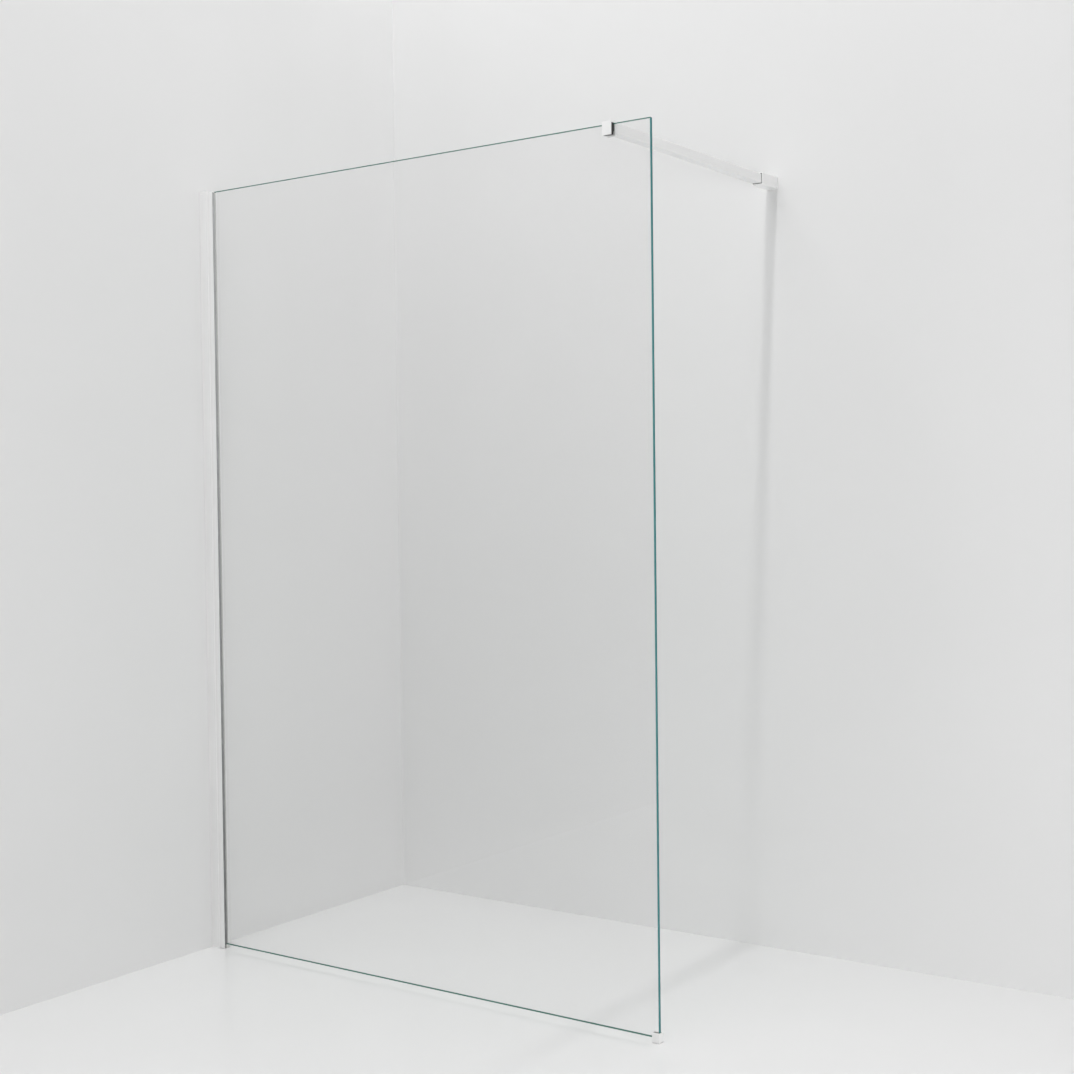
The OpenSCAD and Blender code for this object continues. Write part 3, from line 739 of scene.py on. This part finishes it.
def screwDomes(name, look, low, high, count):
    # Each dome is a section turned about a line along Y. Outside, its height above the
    # shoulder is (1 - (r / radius)^power)^(1/power); inside it is a plain cup.
    radius, tall = (high.x - low.x) / 2 / mm, (high.y - low.y) / mm
    t = np.linspace(0, math.pi / 2, look["over"])
    domeR = radius * np.cos(t) ** (2 / look["power"])
    domeH = look["rise"] + (tall - look["rise"]) * np.sin(t) ** (2 / look["power"])
    cupR, cupH = radius - look["wall"], tall - look["wall"]
    rim = look["rim"]
    r = np.concatenate([[0, cupR, cupR, cupR + rim, radius - rim, radius], domeR])
    h = np.concatenate([[cupH, cupH, rim, 0, 0, rim], domeH])
    r[-1] = 0
    angle = np.linspace(0, 2 * math.pi, look["around"], endpoint=False)
    middleX = (low.x + high.x) / 2
    step = (high.z - low.z - 2 * radius * mm) / (count - 1)
    heights = low.z + radius * mm + step * np.arange(count)
    one = np.stack([
        middleX + mm * r[:, None] * np.cos(angle),
        np.broadcast_to(low.y + mm * h[:, None], (len(r), len(angle))),
        mm * r[:, None] * np.sin(angle),
    ], axis=-1)
    rows, columns = one.shape[:2]
    here = np.arange(rows * columns).reshape(rows, columns)
    beside = np.roll(here, -1, axis=1)
    quads = np.stack([here[:-1], beside[:-1], beside[1:], here[1:]], axis=-1).reshape(-1, 4)
    lift = np.zeros((count, 1, 3))
    lift[:, 0, 2] = heights
    points = (one.reshape(1, -1, 3) + lift).reshape(-1, 3)
    faces = (quads[None] + (np.arange(count) * rows * columns)[:, None, None]).reshape(-1, 4)
    made = meshPiece(name, points.tolist(), faces.tolist())
    closeUp(made)
    smoothUpTo(made, look["sharpFrom"])
    return made


settle(screwDomes("screw_covers_domed", domes, *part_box("screw_covers"), 3),
       "screw_covers", finishes["white_plastic"])
print("gaskets, pad, bush and screw covers made")

# Pieces sawn, cast or moulded: copies of the plain solids with their sharp edges
# rounded off. For each: radius of the edges in mm, and the steps across it.

softEdges = {
    "clamp_body": (0.5, 3),
    "wall_sleeve": (0.35, 3),
    "foot_shoe": (0.3, 3),
    "wall_channel_cap": (0.45, 3),
    "glazing_channel_cap": (0.35, 3),
    "glazing_channel": (0.18, 2),
    "wall_channel": (0.25, 2),
    "bar_tube": (0.15, 2),
    "foot_liner": (0.12, 2),
}


softFrom, flatWithin = 38, 0.5             # degrees: what is rounded, what counts as flat


def softened(node, radius, segments):
    # a merged copy of the part's mesh with a bevel along its sharp edges
    source = parts[node].data
    place = np.empty(len(source.vertices) * 3)
    source.vertices.foreach_get("co", place)
    corner = np.empty(len(source.loops), int)
    source.loops.foreach_get("vertex_index", corner)
    place = place.reshape(-1, 3)
    # points nearer than a micron become one, and triangles that vanish go
    first, back = np.unique(
        np.round(place * 1e6).astype(int), axis=0, return_index=True, return_inverse=True)[1:]
    faces = back.reshape(-1)[corner].reshape(-1, 3)
    a, b, c = faces.T
    faces = faces[(a != b) & (b != c) & (c != a)]
    made = meshPiece(node + "_soft", place[first].tolist(), faces.tolist())
    form = bmesh.new()
    form.from_mesh(made.data)
    bmesh.ops.dissolve_limit(
        form, angle_limit=math.radians(flatWithin), verts=form.verts, edges=form.edges)
    bmesh.ops.recalc_face_normals(form, faces=form.faces)
    form.to_mesh(made.data)
    form.free()
    made.data.polygons.foreach_set("use_smooth", [True] * len(made.data.polygons))
    rounding = made.modifiers.new("rounding", "BEVEL")
    rounding.width, rounding.segments = radius * mm, segments
    rounding.limit_method, rounding.angle_limit = "ANGLE", math.radians(softFrom)
    rounding.harden_normals = True
    return made


for node, (radius, segments) in softEdges.items():
    settle(softened(node, radius, segments), node, finishes[slotOf[node]])
print("edges softened on", len(softEdges), "parts")

# The room corner that the screen stands in: floor and two walls, none of it part
# of the screen. The walls can be looked through from behind, and away from the
# screen the floor fades into the pale background.

room = {
    "left": -0.6894, "back": 0.3989, "floor": -0.0001,
    "front": -4.4, "right": 4.6, "height": 3.4,
    "floorReach": 14.0,
    "wallTone": 0.775, "floorTone": 0.85,
    "wallRough": 0.14, "floorRough": 0.20,
    "mottleScale": 1.6, "mottle": 0.03,
    # painted light and shade in the paint's tone: lighter towards the floor on the back wall,
    # darker towards it on the left, lighter at the foot of each wall and towards and in the corner,
    # with the way over which each fades
    "lowBackPaintedLight": 0.05, "lowLeftPaintedLight": -0.01, "lowPaintedLightReach": 0.9,
    "foot": 0.03, "footPaintedLightReach": 0.3,
    "innerBackPaintedLight": 0.02, "innerLeftPaintedLight": 0.05, "innerPaintedLightReach": 0.45,
    "cornerPaintedLight": (0.012, 0.045),            # painted light in the corner: this much below the first height and above the second
    "cornerPaintedLightFrom": (1.4, 2.5), "cornerPaintedLightReach": 0.2,
    # painted light: how much lighter the floor is towards the corner, and over what distance
    "floorPaintedLight": 0.04, "floorPaintedLightReach": 1.3,
    "cove": 0.001, "coveSteps": 4,       # radius of the corner between the walls
    "apart": 0.05,                       # no light reaches behind the walls so near the corner
    "pale": 0.95,                        # the background's tone
    "fade": (2.1, 3.2),                  # where the floor has begun and ended to fade
    "seam": 0.002,                       # light reaches this far behind what touches a wall
}


def flatFloor(name, room, material):
    far, level = room["floorReach"], room["floor"]
    corners = [(-far, -far, level), (far, -far, level), (far, far, level), (-far, far, level)]
    made = meshPiece(name, corners, [(0, 1, 2, 3)])
    made.data.materials.append(material)


def bentWalls(name, room, material):
    # Both walls as one sheet: along the left one, round a quarter circle, along the
    # back. A narrow strip beside the arc on each side keeps the walls' shading flat.
    left, back, r, strip = room["left"], room["back"], room["cove"], 1.0 * mm
    turn = np.linspace(0, math.pi / 2, room["coveSteps"] + 1)
    arc = np.stack([left + r * (1 - np.cos(turn)), back - r * (1 - np.sin(turn))], axis=-1)
    path = np.concatenate([
        [[left, room["front"]], [left, back - r - strip]], arc,
        [[left + r + strip, back], [room["right"], back]]])
    count = len(path)
    low = np.column_stack([path, np.full(count, room["floor"])])
    high = np.column_stack([path, np.full(count, room["height"])])
    here = np.arange(count - 1)
    faces = np.stack([here, here + 1, here + 1 + count, here + count], axis=-1)
    made = meshPiece(name, np.concatenate([low, high]).tolist(), faces.tolist())
    made.data.polygons.foreach_set("use_smooth", [True] * len(made.data.polygons))
    made.data.materials.append(material)


def paintOf(g, room, tone, rough, drift):
    # emulsion paint, faintly mottled; drift is a factor on its tone from place to place, which
    # carries painted light and shade
    mottle = noiseAt(g, placeOn(g), room["mottleScale"], 3.0)
    base = (1 - room["mottle"] / 2 + room["mottle"] * mottle) * tone * drift
    return principled(g, base, carry(g, mottle, 0.3, 0.7, rough * 0.9, rough * 1.1))


def wallPaint(name, room):
    # Seen from behind, a wall isn't there. It also lets light in behind the faces that
    # touch it, so that they aren't black from there.
    made, g = newMaterial(name)
    ray = raysOf(g)
    behind = g.node("ShaderNodeNewGeometry", out="Backfacing")
    nothing = g.node("ShaderNodeBsdfTransparent")
    x, y, z = axesOf(g, placeOn(g))
    corner = (x - room["left"]) - (y - room["back"])     # way along the wall to the corner
    apart = (corner > room["apart"]) * (z > 2 * room["seam"])
    near = (ray("Ray Length") < room["seam"]) * (ray("Is Shadow Ray") | ray("Is Diffuse Ray"))
    near = near * apart
    onBack = y > room["back"] - 2 * room["cove"]
    # painted light and shade on the walls: the tone lifts or drops towards the floor, at the foot
    # of each wall and towards and in the corner
    low = carry(g, z, 0.0, room["lowPaintedLightReach"], 1, 0)
    foot = carry(g, z, 0.0, room["footPaintedLightReach"], room["foot"], 0)
    inner = carry(g, corner, 0.0, room["innerPaintedLightReach"], 1, 0)
    cornerPaintedLight = carry(g, corner, 0.0, room["cornerPaintedLightReach"], 1, 0)
    cornerPaintedLight = cornerPaintedLight * carry(g, z, *room["cornerPaintedLightFrom"], *room["cornerPaintedLight"])
    lowPaintedLight = room["lowLeftPaintedLight"] + (room["lowBackPaintedLight"] - room["lowLeftPaintedLight"]) * onBack
    innerPaintedLight = room["innerLeftPaintedLight"] + (room["innerBackPaintedLight"] - room["innerLeftPaintedLight"]) * onBack
    drift = 1 + low * lowPaintedLight + inner * innerPaintedLight + foot + cornerPaintedLight
    paint = paintOf(g, room, room["wallTone"], room["wallRough"], drift)
    finishWith(g, mixed(g, behind | near, paint, nothing))
    return made


def floorPaint(name, room):
    # Painted floor; far from the screen and outside the walls it shows as the background.
    made, g = newMaterial(name)
    ray = raysOf(g)
    at = placeOn(g)
    x, y, z = axesOf(g, at)
    away = g.node("ShaderNodeVectorMath", {"operation": "LENGTH"}, {0: at}, out="Value")
    outside = (x < room["left"]) | (y > room["back"])
    shown = ray("Is Camera Ray") | ray("Is Glossy Ray") | ray("Is Transmission Ray")
    mask = (carry(g, away, *room["fade"]) | outside) * shown
    pale = g.node("ShaderNodeEmission", sockets={"Color": room["pale"], "Strength": 1.0})
    # painted light: the floor's tone is lifted towards the corner
    fromCorner = g.node(
        "ShaderNodeVectorMath", {"operation": "DISTANCE"},
        {0: at, 1: (room["left"], room["back"], 0.0)}, out="Value")
    drift = 1 + carry(g, fromCorner, 0.0, room["floorPaintedLightReach"], room["floorPaintedLight"], 0)
    paint = paintOf(g, room, room["floorTone"], room["floorRough"], drift)
    finishWith(g, mixed(g, mask, paint, pale))
    return made


flatFloor("roomFloor", room, floorPaint("floorPaint", room))
bentWalls("roomWalls", room, wallPaint("wallPaint", room))
print("room made")

# Light: an even pale world, one long narrow lamp high above along Y, which casts the
# bar's shadow, three large soft ones in front, and one behind the left wall

light = {
    "world": 0.15,
    "matt": ("rightLamp", "frontLamp", "behindLamp"),   # lamps that don't show in gloss
    "lamps": {
        # name: place, what it shines at, width and length, power
        "stripLamp": ((0.742, -0.85, 5.5), (0.742, -0.85, 0.0), (0.12, 3.8), 88.0),
        "topLamp": ((-0.2, -2.6, 5.0), (0.2, 0.0, 0.6), (2.6, 2.6), 73.5),
        "rightLamp": ((4.4, -1.6, 0.7), (-0.3, 0.0, 1.2), (3.0, 1.3), 54.5),
        "frontLamp": ((2.2, -4.2, 0.8), (-0.2, 0.2, 1.0), (3.6, 1.5), 15.5),
        "behindLamp": ((-2.6, 2.2, 1.6), (-0.7, 0.3, 1.2), (2.0, 2.0), 90.0),
    },
}
world = bpy.data.worlds.new("paleWorld")
bpy.context.scene.world = world
g = Graph(world)
ray = raysOf(g)
seen = ray("Is Camera Ray") | ray("Is Glossy Ray") | ray("Is Transmission Ray")
glow = g.node("ShaderNodeBackground", sockets={"Color": 1.0, "Strength": light["world"]})
pale = g.node("ShaderNodeBackground", sockets={"Color": room["pale"], "Strength": 1.0})
g.node("ShaderNodeOutputWorld", sockets={"Surface": mixed(g, seen, glow, pale)})


def areaLamp(name, place, aim, size, power):
    # a rectangle of light at one place, turned to shine at another
    lamp = bpy.data.lights.new(name, "AREA")
    lamp.shape, (lamp.size, lamp.size_y) = "RECTANGLE", size
    lamp.energy = power
    held = bpy.data.objects.new(name, lamp)
    ahead = Vector(aim) - Vector(place)
    turn = ahead.to_track_quat("-Z", "Y").to_matrix().to_4x4()
    held.matrix_world = Matrix.Translation(place) @ turn
    held.visible_camera = held.visible_transmission = False
    held.visible_glossy = name not in light["matt"]
    bpy.context.scene.collection.objects.link(held)


for name, told in light["lamps"].items():
    areaLamp(name, *told)
bpy.context.scene.view_settings.view_transform = "Standard"

# The camera stands where the photograph was taken from

view = {
    "place": (2.4255, -3.30179, 1.19128),
    "right": (0.818416, 0.574508, -0.011654),
    "down": (0.005387, -0.027952, -0.999595),
    "ahead": (-0.574601, 0.818021, -0.025971),
    "focus": 1572.5, "imageWidth": 1074.0, "sensor": 36.0,
    "pan": 0.3,                          # the image moves this many pixels to the right
}
eye = bpy.data.cameras.new("photoCamera")
eye.sensor_width = view["sensor"]
eye.lens = view["focus"] * view["sensor"] / view["imageWidth"]
eye.shift_x = -view["pan"] / view["imageWidth"]
eye.clip_start, eye.clip_end = 0.05, 100.0
camera = bpy.data.objects.new("photoCamera", eye)
turn = Matrix((view["right"], [-v for v in view["down"]], [-v for v in view["ahead"]])).transposed()
camera.matrix_world = Matrix.Translation(view["place"]) @ turn.to_4x4()
bpy.context.scene.collection.objects.link(camera)
bpy.context.scene.camera = camera
print("light and camera set")
